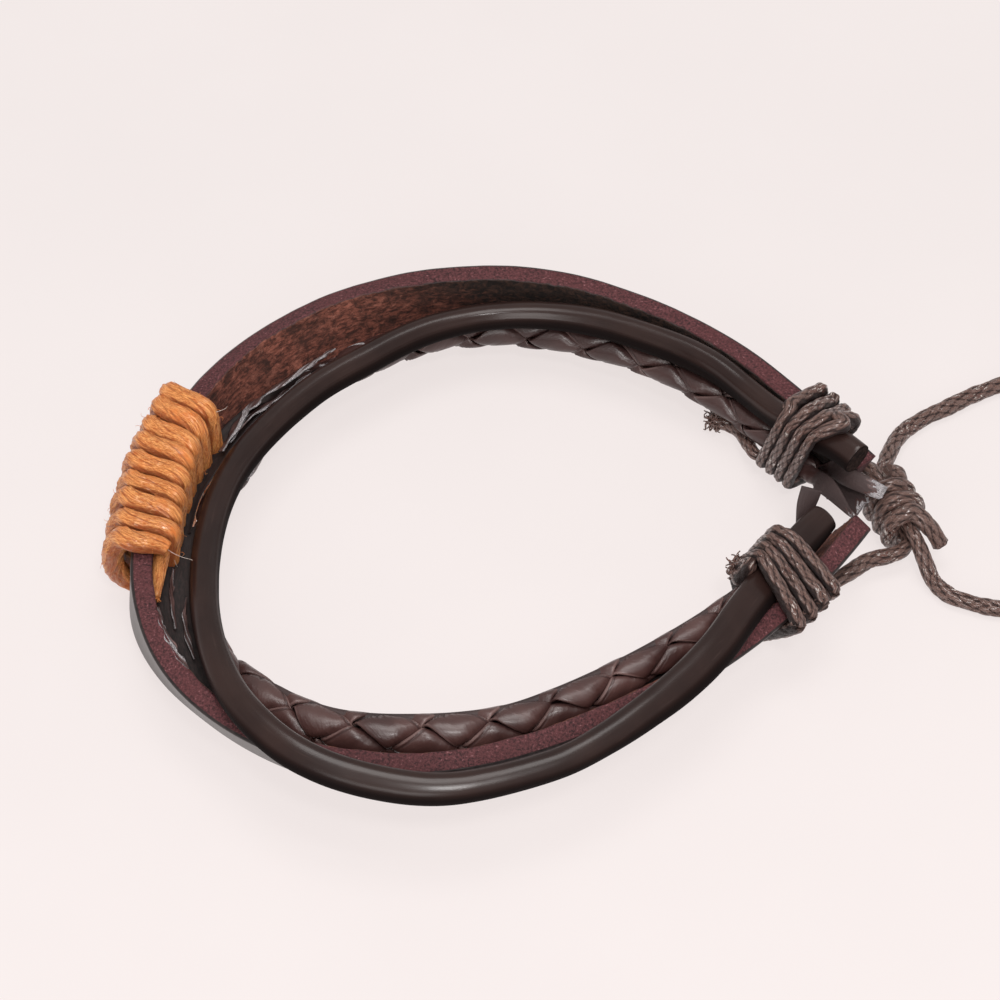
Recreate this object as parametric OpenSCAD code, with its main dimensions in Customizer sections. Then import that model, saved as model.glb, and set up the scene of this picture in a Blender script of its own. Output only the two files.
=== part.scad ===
// Braided leather bracelet, lying open on a table with its strands standing side by side.
// Three leather strands run round the wrist: a flat strap on its edge, a smooth flat-oval cord and a
// round braid of four strips. Waxed cord binds them at both ends and closes them with a sliding knot.
// Every strand's path is a short table, a row for each bend, joined by a smooth curve.

/* [Flat strap] */
// Thickness of the strap
strap_t = 2.1; // [1.9:0.05:2.2]
// Width of the strap, which stands on its edge
strap_w = 7.5; // [7:0.1:7.6]
// Bevel along the strap's four edges
strap_bevel = 0.2; // [0.1:0.05:0.4]

/* [Smooth cord] */
// Radius of the cord where it is round; where it is flattened its width and thickness share this area
cord_r = 1.35; // [1.1:0.05:1.4]

/* [Braid] */
// Times that each strip goes round the braid from one knot to the other
braid_turns = 13; // [11:1:14]
// Radius at which the strips cross
braid_r = 1.0; // [0.9:0.05:1.05]
// How far a strip rises over its neighbours and dives under them
braid_wave = 0.45; // [0.44:0.01:0.46]
// Half width of a strip
strip_half = 1.12; // [0.8:0.02:1.15]
// Half thickness of a strip
strip_thin = 0.38; // [0.3:0.02:0.4]

/* [Waxed cord] */
// Diameter of the dark waxed cord of the knots and ties
wax_d = 1.7; // [1.4:0.05:1.8]
// Diameter of the orange waxed cord of the wrap
wrap_d = 2.1; // [1.7:0.05:2.1]
// Turns of the orange wrap round the strap
wrap_turns = 8.75; // [5.75:1:8.75]
// Turns of the upper and of the lower knot round the three strands
upper_turns = 4.25; // [2.25:1:4.25]
lower_turns = 4.5; // [2.5:1:4.5]
// Turns of the sliding knot round the two tie cords
slide_turns = 3; // [2:0.5:3.5]
// Play between a cord and what it is wound on
play = 0.1; // [0.08:0.01:0.15]

/* [Hidden] */

// Middle of the bracelet on the table, from which every table is shifted so that it is the origin
middle = [2.69, -6.8, 0.02];

// Rows of the strap's middle line: x, y, z and lean, the angle by which its top leans outwards
X = 0;
Y = 1;
Z = 2;
LEAN = 3;
strap_rows = [
    [36.1, 0.6, 5.8, -8], [32.8, 4.9, 5.8, -8], [29.0, 9.3, 5.8, -5], [26.0, 12.5, 5.7, 0],
    [23.0, 15.2, 5.7, 4], [17.3, 19.4, 5.7, 6], [9.7, 23.4, 5.7, 4], [4.9, 25.0, 5.7, 2],
    [0, 25.6, 5.7, 1], [-6.0, 25.2, 5.7, 3], [-9.8, 24.2, 5.7, 8], [-13.5, 22.6, 5.8, 14], [-17.0, 20.8, 5.8, 19],
    [-22.5, 16.7, 5.8, 21], [-26.2, 12.8, 5.95, 18], [-29.6, 8.1, 6.17, 8], [-32.4, 2.2, 6.17, 1],
    [-33.9, -4.6, 6.17, -4], [-34.3, -10.5, 6.1, -6], [-34.1, -14.3, 6.0, -4],
    [-32.9, -18.2, 5.8, 3], [-30.8, -22.2, 5.8, 13], [-28.4, -25.2, 5.8, 20],
    [-25.4, -28.1, 5.8, 23], [-21.5, -30.8, 5.8, 25], [-17.3, -32.7, 5.8, 25],
    [-13.4, -33.6, 5.8, 24], [-8.9, -34.1, 5.8, 24], [-5.4, -33.9, 5.8, 24],
    [-2.2, -33.3, 5.8, 24], [1.0, -32.3, 5.8, 25], [4.2, -30.9, 5.7, 26], [7.7, -29.1, 5.7, 28],
    [11.4, -26.9, 5.7, 30], [15.1, -24.5, 5.6, 33], [19.1, -21.5, 5.6, 35],
    [23.2, -17.9, 5.6, 35], [27.0, -13.9, 5.6, 34], [31.0, -9.2, 5.7, 30], [33.6, -5.6, 5.7, 28]];

// Rows of the smooth cord's middle line: x, y, z, half width and turn of its width from upright
HALF = 3;
TURN = 4;
cord_rows = [
    [34.5, -0.6, 10.8, 1.6, 52], [32.9, 1.3, 10.7, 1.6, 48], [30.2, 3.7, 9.9, 1.6, 28],
    [27.5, 6.8, 8.6, 1.6, 0],
    [24.2, 10.8, 8.2, 1.6, 2], [21.7, 13.2, 8.5, 1.6, 10], [19.3, 14.9, 8.6, 1.6, 20],
    [16.1, 16.7, 8.6, 1.55, 30], [10.1, 19.6, 8.3, 1.45, 30], [4.0, 21.1, 7.9, 1.35, 30],
    [-2.0, 21.0, 7.6, 1.35, 30], [-8.1, 18.8, 7.7, 1.45, 35], [-14.0, 14.8, 7.6, 1.5, 35],
    [-17.9, 11.8, 7.6, 1.5, 35], [-21.7, 7.5, 7.6, 1.5, 35], [-24.5, 3.2, 7.8, 1.5, 35],
    [-26.6, -2.0, 8.3, 1.45, 40], [-27.7, -8.0, 8.8, 1.4, 40], [-27.9, -14.0, 9.4, 1.35, 50],
    [-27.3, -20.2, 10.1, 1.35, 70], [-25.6, -26.3, 10.8, 1.45, 90], [-23.0, -31.3, 11.3, 1.55, 110],
    [-18.5, -35.7, 11.1, 1.6, 120], [-12.4, -38.1, 10.4, 1.6, 120], [-4.5, -38.9, 10.0, 1.5, 120],
    [4.5, -36.4, 10.0, 1.4, 120], [9.1, -33.9, 10.3, 1.45, 120], [13.1, -30.9, 10.6, 1.6, 120],
    [16.9, -27.4, 10.7, 1.75, 120], [20.2, -23.4, 10.8, 1.75, 120], [22.7, -19.0, 10.5, 1.75, 120],
    [26.1, -13.5, 9.8, 1.75, 122], [29.5, -8.8, 9.65, 1.65, 120], [31.55, -5.95, 9.3, 1.45, 118]];

// Rows of the braid's middle line: x, y, z and girth, where 1 is the free braid's own girth
GIRTH = 3;
braid_rows = [
    [31.1, 3.0, 4.5, 0.72], [29.3, 5.2, 4.4, 0.75], [27.0, 7.7, 4.4, 0.75], [23.6, 11.0, 4.7, 0.8],
    [20.2, 13.7, 5.0, 0.84], [15.7, 16.9, 5.2, 0.88], [10.0, 19.7, 5.0, 0.92], [4.1, 21.8, 4.6, 0.95], [-1.0, 22.4, 4.4, 0.97],
    [-6.1, 21.7, 4.5, 1], [-12.2, 18.9, 4.7, 1], [-18.2, 15.0, 4.5, 1], [-22.4, 10.8, 4.2, 1],
    [-24.7, 5.4, 3.9, 1], [-27.8, -1.0, 4.0, 1], [-28.8, -8.0, 4.0, 1], [-28.8, -13.4, 4.1, 1],
    [-27.6, -18.4, 4.3, 1], [-25.2, -22.0, 4.6, 1], [-21.2, -25.6, 5.2, 1], [-17.0, -28.1, 5.6, 1.02],
    [-13.0, -29.3, 6.0, 1.03], [-9.0, -29.5, 6.0, 1.03], [-4.0, -29.3, 6.0, 1.03],
    [1.0, -28.3, 6.0, 1], [5.4, -26.6, 6.2, 0.97], [9.3, -24.7, 6.4, 0.93], [13.1, -22.5, 6.7, 0.9],
    [16.9, -20.1, 7.0, 0.86], [21.2, -16.7, 7.2, 0.8], [25.2, -12.5, 7.3, 0.75],
    [29.2, -7.7, 7.2, 0.75]];

// Loose ends of the braid's strips past the knots, in the same columns as the smooth cord: those of the
// first, second and third strip from their tips to the upper knot, and that of the second from the
// lower knot to its tip. The fourth strip ends inside the knots.
loose_1 = [[37.3, -2.2, 7.5, 0.7, 50], [34.0, -0.3, 7.7, 1.0, 30], [32.6, 1.9, 6.6, 1.0, 20]];
loose_2 = [[34.1, -5.2, 7.4, 0.15, -130], [32.1, -1.2, 7.0, 0.9, -135], [31.1, 0.9, 5.9, 1.0, -145]];
loose_4 = [[35.4, -2.3, 5.5, 1.1, -130], [33.6, 0.0, 5.2, 1.1, -135], [32.2, 1.3, 4.1, 1.0, -150]];
loose_low = [[29.0, -6.2, 7.9, 1.0, 160], [29.4, -5.1, 9.2, 1.05, 135], [29.9, -4.1, 10.6, 1.05, 120]];

// How much shorter the strap is along its lower edge, where its upper end is cut aslant
strap_cut = 3.4;

// Corners of the bulging hull on which the orange cord is wound, outwards and upwards from the strap's
// middle line
wrap_hull = [[1.05, -3.8], [1.66, -1.6], [1.66, 1.6], [1.05, 3.8], [-1.1, 3.8], [-1.6, 1.9], [-1.1, -3.8]];

// Distances along the strap at which the knots and the wrap begin, and the angle round it, from
// straight outwards and turning upwards, at which they begin
upper_from = 12.0;
upper_start = 210;
lower_from = 178;
lower_start = 150;
wrap_from = 80.4;
wrap_start = -90;

// How far each turn of a knot or of the wrap moves towards the strap's upper end for each millimetre it
// rises
upper_slant = 0.5;
lower_slant = 0.24;
wrap_slant = -0.36;
// Girth of the waxed cord where it is pulled tight in a knot
knot_girth = 0.94;

// Tails of the knots from their frayed tips, and of the wrap to its cut tip: x, y, z and girth
upper_tail = [[21.5, 12.4, 2.0, 1], [24.0, 11.0, 1.9, 1]];
lower_tail = [[22.2, -11.7, 9.2, 1], [22.3, -13.4, 9.3, 1]];
wrap_tail = [[-31.9, -10.9, 7.6, 0.8], [-31.9, -13.3, 7.3, 0.45]];

// Sliding knot: both ends of its middle line, its stub from the tip, the angle at which its turns begin,
// and how much the tie cords are squeezed inside it
slide_low = [39.8, -3.2, 3.3];
slide_high = [37.6, 1.9, 3.3];
slide_stub = [[42.9, -4.7, 2.9, 1], [42.0, -4.1, 4.3, 1]];
slide_start = 60;
squeeze = 0.8;

// Routes of the tie cords from the knots to their bare ends: x, y, z and girth
lower_tie = [[34.5, 7.3, 2.1, 0.97], [35.5, 5.6, 2.6, 1], [36.5, 4.1, 3.9, 0.95], [37.1, 2.9, 4.1, 0.85],
             [37.6, 1.9, 4.05, squeeze], [39.7, -3.2, 4.05, squeeze], [40.5, -5.0, 3.8, 0.9],
             [41.3, -6.5, 2.4, 1], [42.1, -7.9, 1.2, 1], [43.5, -9.4, 0.9, 1], [45.1, -10.2, 0.9, 1],
             [47.2, -10.9, 0.9, 1], [49.6, -11.3, 0.9, 1], [52.4, -11.5, 0.9, 1], [55.2, -11.5, 0.9, 1],
             [57.6, -11.4, 0.9, 1]];
upper_tie = [[33.8, -7.6, 2.0, 1], [35.8, -6.2, 2.2, 1], [37.8, -5.6, 2.2, 1], [39.3, -4.9, 2.3, 0.9],
             [39.7, -3.2, 2.55, squeeze], [37.6, 1.9, 2.55, squeeze], [37.5, 3.7, 2.5, 0.9],
             [38.3, 6.2, 2.1, 1], [39.3, 9.1, 1.4, 1], [40.7, 11.6, 0.9, 1], [42.9, 13.4, 0.9, 1],
             [45.1, 14.7, 0.9, 1], [47.2, 16.0, 0.9, 1], [49.4, 17.2, 0.9, 1], [51.9, 18.3, 0.9, 1],
             [54.5, 19.2, 0.9, 1], [57.0, 19.8, 0.9, 1]];

// Points of a table's curve between two of its rows
strand_steps = 2;
// Sides of a waxed cord
wax_sides = 8;
// Rings in one turn of a wound cord, and in one turn of a strip
turn_rings = 12;
strip_rings = 12;
// Tilt of a strip between two crossings
strip_tilt = 0.6;

function unit(v) = v / norm(v);
function last(list) = list[len(list) - 1];
function place(row) = [row[X], row[Y], row[Z]];
function mix(a, b, f) = a * (1 - f) + b * f;

// Smooth curve through rows of numbers: each stretch is a cubic whose slopes follow the neighbours
function cubic(a, b, c, d, t) =
    (2 * b + (c - a) * t + (2 * a - 5 * b + 4 * c - d) * t * t + (3 * b - a - 3 * c + d) * t * t * t) / 2;
function smooth(rows, steps) = concat(
    [for (i = [0:len(rows) - 2])
        let (
            before = i == 0 ? 2 * rows[0] - rows[1] : rows[i - 1],
            after = i == len(rows) - 2 ? 2 * rows[i + 1] - rows[i] : rows[i + 2])
        for (k = [0:steps - 1]) cubic(before, rows[i], rows[i + 1], after, k / steps)],
    [last(rows)]);

// Rows shifted so that the middle of the bracelet is the origin
function shift(row) = [for (k = [0:len(row) - 1]) row[k] - (k <= Z ? middle[k] : 0)];
function shifted(rows) = [for (row = rows) shift(row)];
function curve(rows, steps) = smooth(shifted(rows), steps);

// Distance along a curve at each of its points, and its columns against that distance
function reach(path) = [for (
    i = 0, sum = 0;
    i < len(path);
    sum = sum + (i < len(path) - 1 ? norm(place(path[i + 1]) - place(path[i])) : 0), i = i + 1) sum];
function columns(path) = let (far = reach(path))
    [for (k = [0:len(path[0]) - 1]) [for (i = [0:len(path) - 1]) [far[i], path[i][k]]]];
function row_at(cols, s) = [for (column = cols) lookup(s, column)];
function heading_at(cols, s) = unit(place(row_at(cols, s + 0.4)) - place(row_at(cols, s - 0.4)));

// Directions across a strand that runs along t: outwards from the loop, and upwards,
// with the top turned outwards by an angle
function across(t, turn) =
    let (up = unit([0, 0, 1] - t * t[2]), out = cross(t, up))
    [out * cos(turn) - up * sin(turn), up * cos(turn) + out * sin(turn)];
function heading(path, i) =
    unit(place(path[min(i + 1, len(path) - 1)]) - place(path[max(i - 1, 0)]));

// Directions square to a path, carried along it without twisting
function carried(path) = [for (
    i = 0, t = heading(path, 0), up = unit([0, 0, 1] - t * t[2]);
    i < len(path);
    i = i + 1, t = heading(path, min(i, len(path) - 1)), up = unit(up - t * (t * up)))
    [cross(t, up), up]];

// Outline laid on a pair of directions round a centre
function ring(centre, pair, outline) = [for (p = outline) centre + pair[0] * p[0] + pair[1] * p[1]];
function oval(half_out, half_up, sides) =
    [for (j = [0:sides - 1]) let (a = (j + 0.5) * 360 / sides) [half_out * cos(a), half_up * sin(a)]];
function bevelled(t, w, c) = [
    [t / 2, c - w / 2], [t / 2, w / 2 - c], [t / 2 - c, w / 2], [c - t / 2, w / 2],
    [-t / 2, w / 2 - c], [-t / 2, c - w / 2], [c - t / 2, -w / 2], [t / 2 - c, -w / 2]];

// Closed skin over rings that all have the same number of points; each of its squares is split along
// the shorter diagonal
module skin(rings) {
    m = len(rings[0]);
    n = len(rings);
    points = [for (r = rings) each r];
    sides = [for (i = [0:n - 2], j = [0:m - 1])
        let (k = (j + 1) % m, a = i * m + j, b = i * m + k, c = a + m, d = b + m)
        each norm(points[a] - points[d]) < norm(points[b] - points[c]) + 0.001
            ? [[a, b, d], [a, d, c]] : [[a, b, c], [b, d, c]]];
    caps = [[for (j = [m - 1:-1:0]) j], [for (j = [0:m - 1]) (n - 1) * m + j]];
    polyhedron(points, concat(sides, caps));
}

// Strap: its rings stand square to it, but for the slanted cut at its upper end
strap = curve(strap_rows, strand_steps);
strap_cols = columns(strap);
strap_far = reach(strap);
strap_outline = bevelled(strap_t, strap_w, strap_bevel);
function strap_pair(s) = across(heading_at(strap_cols, s), row_at(strap_cols, s)[LEAN]);
function strap_ring(s, slant) =
    let (t = heading_at(strap_cols, s), centre = place(row_at(strap_cols, s)), pair = strap_pair(s))
    [for (p = strap_outline) centre + pair[0] * p[0] + pair[1] * p[1] - t * (p[1] / strap_w * slant)];

module flat_strap() {
    color("#5a3034")
    skin(concat(
        [strap_ring(strap_cut / 2, strap_cut)],
        [for (s = strap_far) if (s > strap_cut + 0.4 && s < last(strap_far) - 0.4) strap_ring(s, 0)],
        [strap_ring(last(strap_far) - 0.4, 0)]));
}

cord_path = curve(cord_rows, strand_steps);
module smooth_cord() {
    path = cord_path;
    color("#3e302e")
    skin([for (i = [0:len(path) - 1])
        let (half = path[i][HALF])
        ring(place(path[i]), across(heading(path, i), path[i][TURN]), oval(cord_r * cord_r / half, half, 12))]);
}

// Braid: two strips go round its middle line one way and two the other way. At each crossing one of
// the two rides on the other, turn and turn about, and between crossings both tilt the same way.
braid = curve(braid_rows, 3);
braid_cols = columns(braid);
braid_length = last(reach(braid));
strip_outline = [[strip_half, 0], [strip_half / 2, -strip_thin], [-strip_half / 2, -strip_thin],
                 [-strip_half, 0], [-strip_half / 2, strip_thin], [strip_half / 2, strip_thin]];
function strip_ring(way, start, f) =
    let (
        s = f * braid_length,
        row = row_at(braid_cols, s),
        phase = f * braid_turns * 360,
        rise = way * braid_wave * cos(2 * phase),
        tilt = strip_tilt * sin(2 * phase))
    ring(place(row), across(heading_at(braid_cols, s), 0), [for (p = strip_outline)
        let (a = start + way * phase + p[0] / braid_r * 180 / PI, r = braid_r + rise - tilt * p[0] + p[1])
        row[GIRTH] * r * [cos(a), sin(a)]]);
function loose_rings(rows) =
    let (path = curve(rows, 1))
    [for (i = [0:len(path) - 1])
        let (wide = path[i][HALF] / strip_half)
        ring(place(path[i]), across(heading(path, i), path[i][TURN]),
             [for (p = strip_outline) [p[1] * 0.85, p[0] * wide]])];

module strip(way, start, before, after) {
    count = braid_turns * strip_rings;
    color("#5f4846")
    skin(concat(
        len(before) > 0 ? loose_rings(before) : [],
        [for (k = [0:count]) strip_ring(way, start, k / count)],
        len(after) > 0 ? loose_rings(after) : []));
}
module braid_strand_1() { strip(1, 0, loose_1, []); }
module braid_strand_2() { strip(1, 180, loose_2, loose_low); }
module braid_strand_3() { strip(-1, 0, [], []); }
module braid_strand_4() { strip(-1, 180, loose_4, []); }

// Row at which a strand crosses the strap's section at a centre, or undef past the strand's ends
function crossing(path, centre, t) = [for (i = [0:len(path) - 2])
    let (a = (place(path[i]) - centre) * t, b = (place(path[i + 1]) - centre) * t)
    if (a * b <= 0 && norm(place(path[i]) - centre) < 12) mix(path[i], path[i + 1], a / (a - b))][0];

// Points that reach furthest one way: of corners, and of an oval, in the section's own directions
function furthest(points, way) =
    let (most = max([for (p = points) p * way])) [for (p = points) if (p * way == most) p][0];
function oval_edge(centre, half_out, half_up, turn, way) =
    let (
        out = [cos(turn), -sin(turn)],
        up = [sin(turn), cos(turn)],
        a = half_out * (out * way),
        b = half_up * (up * way))
    centre + (out * half_out * a + up * half_up * b) / norm([a, b]);

// Edge of the bundle of strap, smooth cord and braid at a distance along the strap
strap_corners = [for (a = [-0.5, 0.5], b = [-0.5, 0.5]) [a * strap_t, b * strap_w]];
braid_out = braid_r + braid_wave + strip_thin + 0.05;
function bundle_edge(s, way) =
    let (
        centre = place(row_at(strap_cols, s)),
        pair = strap_pair(s),
        t = heading_at(strap_cols, s),
        c = crossing(cord_path, centre, t),
        b = crossing(braid, centre, t),
        c_edge = is_undef(c) ? [] : let (v = place(c) - centre, turn = c[TURN] - row_at(strap_cols, s)[LEAN])
            [oval_edge([v * pair[0], v * pair[1]], cord_r * cord_r / c[HALF], c[HALF], turn, way)],
        b_edge = is_undef(b) ? [] : let (v = place(b) - centre)
            [[v * pair[0], v * pair[1]] + way * braid_out * b[GIRTH]])
    furthest(concat(strap_corners, c_edge, b_edge), way);

// Point of a cord wound at a fixed distance off an edge; between its rings the cord runs straight,
// so the rings stand out a little to keep that distance
function wound_place(centre, pair, edge, way, off, girth) =
    let (p = edge + way * off / cos(180 / turn_rings))
    concat(centre + pair[0] * p[0] + pair[1] * p[1], [girth]);

// Cord wound on the bundle from a distance along the strap, slanting by some way for each way it rises
function wound_on_bundle(from, rise, turns, start, slant) =
    [for (k = [0:round(turns * turn_rings)])
        let (
            turn = (k + 0.5) / turn_rings,
            angle = start + turn * 360,
            way = [cos(angle), sin(angle)],
            level = from + turn * rise,
            s = level - slant * bundle_edge(level, way)[1])
        wound_place(place(row_at(strap_cols, s)), strap_pair(s), bundle_edge(s, way), way, tight_off, knot_girth)];

// Round cord along rows of x, y, z and girth, from one of its rings to another
GROWTH = 3;
function cord_rings(path, d, first, final) =
    let (pairs = carried(path))
    [for (i = [first:final]) ring(place(path[i]), pairs[i], oval(d / 2, d / 2, wax_sides) * path[i][GROWTH])];

tight_d = wax_d * knot_girth;
tight_off = tight_d / 2 + play + 0.18;

// The upper knot and the lower tie cord are one cord, and so are the lower knot and the upper tie cord:
// a frayed tail, the turns of the knot, and the tie that goes on from the last turn
function knotted(tail, turns, tie) = concat(
    smooth(concat(shifted(tail), [turns[0]]), 2),
    [for (i = [1:len(turns) - 2]) turns[i]],
    smooth(concat([last(turns)], shifted(tie)), 1));
function knot_end(tail, turns) = 2 * len(tail) + len(turns) - 1;

upper_wound = wound_on_bundle(upper_from, -tight_d - 0.1, upper_turns, upper_start, upper_slant);
upper_cord = knotted(upper_tail, upper_wound, lower_tie);
upper_end = knot_end(upper_tail, upper_wound);
lower_wound = wound_on_bundle(lower_from, tight_d + 0.15, lower_turns, lower_start, lower_slant);
lower_cord = knotted(lower_tail, lower_wound, upper_tie);
lower_end = knot_end(lower_tail, lower_wound);

module upper_knot() { color("#5a4a40") skin(cord_rings(upper_cord, wax_d, 0, upper_end)); }
module lower_knot() { color("#5a4a40") skin(cord_rings(lower_cord, wax_d, 0, lower_end)); }
module lower_tie_cord() { color("#5a4640") skin(cord_rings(upper_cord, wax_d, upper_end, len(upper_cord) - 1)); }
module upper_tie_cord() { color("#5a4640") skin(cord_rings(lower_cord, wax_d, lower_end, len(lower_cord) - 1)); }

module orange_wrap() {
    turns = [for (k = [0:wrap_turns * turn_rings])
        let (
            turn = (k + 0.5) / turn_rings,
            angle = wrap_start + turn * 360,
            way = [cos(angle), sin(angle)],
            edge = furthest(wrap_hull, way),
            s = wrap_from + turn * (wrap_d + 0.2) - wrap_slant * edge[1])
        wound_place(place(row_at(strap_cols, s)), strap_pair(s), edge, way, wrap_d / 2 + play, 1)];
    path = concat([for (i = [0:len(turns) - 2]) turns[i]], smooth(concat([last(turns)], shifted(wrap_tail)), 2));
    color("#cd7d37")
    skin(cord_rings(path, wrap_d, 0, len(path) - 1));
}

module sliding_knot() {
    low = shift(slide_low);
    high = shift(slide_high);
    t = unit(high - low);
    pair = across(t, 0);
    apart = (wax_d * squeeze + play) / 2;
    off = wax_d * squeeze / 2 + play + wax_d / 2;
    turns = [for (k = [0:slide_turns * turn_rings])
        let (turn = (k + 0.5) / turn_rings, angle = slide_start + turn * 360, way = [cos(angle), sin(angle)])
        wound_place(mix(low, high, turn / slide_turns), pair, furthest([[0, apart], [0, -apart]], way), way, off, 1)];
    path = concat(smooth(concat(shifted(slide_stub), [turns[0]]), 2), [for (i = [1:len(turns) - 1]) turns[i]]);
    color("#5e4d43")
    skin(cord_rings(path, wax_d, 0, len(path) - 1));
}

flat_strap();
smooth_cord();
braid_strand_1();
braid_strand_2();
braid_strand_3();
braid_strand_4();
orange_wrap();
upper_knot();
lower_knot();
sliding_knot();
upper_tie_cord();
lower_tie_cord();
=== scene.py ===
"""Looks of a braided leather bracelet that lies on a table.

Three leather strands run round the wrist side by side: a flat strap on its edge, a smooth cord and a
round braid of four strips. Waxed cord binds them at both ends and closes them with a sliding knot, and
orange waxed cord is wound round the strap. Tables are in millimetres, as in the part's source, and
every mesh is in metres.
"""

import bpy
import numpy as np
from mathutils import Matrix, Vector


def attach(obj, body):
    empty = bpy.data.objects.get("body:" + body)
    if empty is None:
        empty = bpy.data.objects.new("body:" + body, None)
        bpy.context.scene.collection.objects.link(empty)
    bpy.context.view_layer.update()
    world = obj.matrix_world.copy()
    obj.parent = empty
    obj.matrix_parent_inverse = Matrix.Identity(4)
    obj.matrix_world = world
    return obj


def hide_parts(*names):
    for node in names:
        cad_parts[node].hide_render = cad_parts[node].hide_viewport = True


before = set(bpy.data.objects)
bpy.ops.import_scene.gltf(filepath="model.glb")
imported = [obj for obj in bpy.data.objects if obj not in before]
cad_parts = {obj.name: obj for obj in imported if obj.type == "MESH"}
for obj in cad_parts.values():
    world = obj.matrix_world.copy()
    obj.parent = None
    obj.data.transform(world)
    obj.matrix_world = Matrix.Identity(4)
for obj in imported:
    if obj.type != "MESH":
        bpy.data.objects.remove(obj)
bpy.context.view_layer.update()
scene = bpy.context.scene

MM = 0.001
TAU = 2 * np.pi
MIDDLE = np.array([2.69, -6.8, 0.02])

# Sizes in millimetres, as in the part's source: strap, smooth cord, braid and its strips, waxed cords and
# the gap that they keep. STRIP_SIDE is half the angle that a strip takes up round the braid, in radians.
STRAP_T, STRAP_W, STRAP_CUT, STRAP_TRIM = 2.1, 7.5, 3.4, 0.4
CORD_R = 1.35
BRAID_TURNS, BRAID_R, BRAID_WAVE = 13, 1.0, 0.45
STRIP_THIN, STRIP_SIDE = 0.38, 1.5
WAX_D, WRAP_D, PLAY = 1.7, 2.1, 0.1

# Turns of each wound cord, where along the strap and at which angle each begins, how far the knots
# slant, how far the wrap runs ahead at an angle round the strap, and how thin the knots' turns and the
# tie cords in the sliding knot are pressed
WRAP_TURNS, UPPER_TURNS, LOWER_TURNS, SLIDE_TURNS = 8.75, 4.25, 4.5, 3
UPPER_FROM, UPPER_START, LOWER_FROM, LOWER_START = 12.0, 210, 178, 150
WRAP_FROM, WRAP_START, SLIDE_START = 80.4, -90, 60
UPPER_SLANT, LOWER_SLANT = 0.5, 0.24
WRAP_LEADS = [(0, -0.5), (35, -1.3), (90, -0.2), (150, 1.0), (180, 1.3), (250, 1.3), (310, 0.7), (360, -0.5)]
KNOT_GIRTH, SQUEEZE = 0.92, 0.8

# Rows in each turn of a wound cord, and the share of its radius that the steps between them keep
TURN_RINGS = 12
CHORD = np.cos(np.pi / TURN_RINGS)

# How wide the strap's cut edges are, and how far round from its lower outer corner its outer face ends
EDGE = STRAP_T - 0.1
OUTER_END = STRAP_W - 0.2

# Rows of the middle lines: those of the part's source, but with small shifts of the braid, the smooth
# cord's near end and two tails. Strap: x, y, z and lean. Smooth cord, loose strips and slivers: x, y, z,
# half width and turn. Braid and waxed cords: x, y, z and girth.
STRAP_ROWS = [
    [36.1, 0.6, 5.8, -8], [32.8, 4.9, 5.8, -8], [29.0, 9.3, 5.8, -5], [26.0, 12.5, 5.7, 0],
    [23.0, 15.2, 5.7, 4], [17.3, 19.4, 5.7, 6], [9.7, 23.4, 5.7, 4], [4.9, 25.0, 5.7, 2], [0, 25.6, 5.7, 1],
    [-6.0, 25.2, 5.7, 3], [-9.8, 24.2, 5.7, 8], [-13.5, 22.6, 5.8, 14], [-17.0, 20.8, 5.8, 19],
    [-22.5, 16.7, 5.8, 21], [-26.2, 12.8, 5.95, 18], [-29.6, 8.1, 6.17, 8], [-32.4, 2.2, 6.17, 1],
    [-33.9, -4.6, 6.17, -4], [-34.3, -10.5, 6.1, -6], [-34.1, -14.3, 6.0, -4], [-32.9, -18.2, 5.8, 3],
    [-30.8, -22.2, 5.8, 13], [-28.4, -25.2, 5.8, 20], [-25.4, -28.1, 5.8, 23], [-21.5, -30.8, 5.8, 25],
    [-17.3, -32.7, 5.8, 25], [-13.4, -33.6, 5.8, 24], [-8.9, -34.1, 5.8, 24], [-5.4, -33.9, 5.8, 24],
    [-2.2, -33.3, 5.8, 24], [1.0, -32.3, 5.8, 25], [4.2, -30.9, 5.7, 26], [7.7, -29.1, 5.7, 28],
    [11.4, -26.9, 5.7, 30], [15.1, -24.5, 5.6, 33], [19.1, -21.5, 5.6, 35], [23.2, -17.9, 5.6, 35],
    [27.0, -13.9, 5.6, 34], [31.0, -9.2, 5.7, 30], [33.6, -5.6, 5.7, 28],
]
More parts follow.
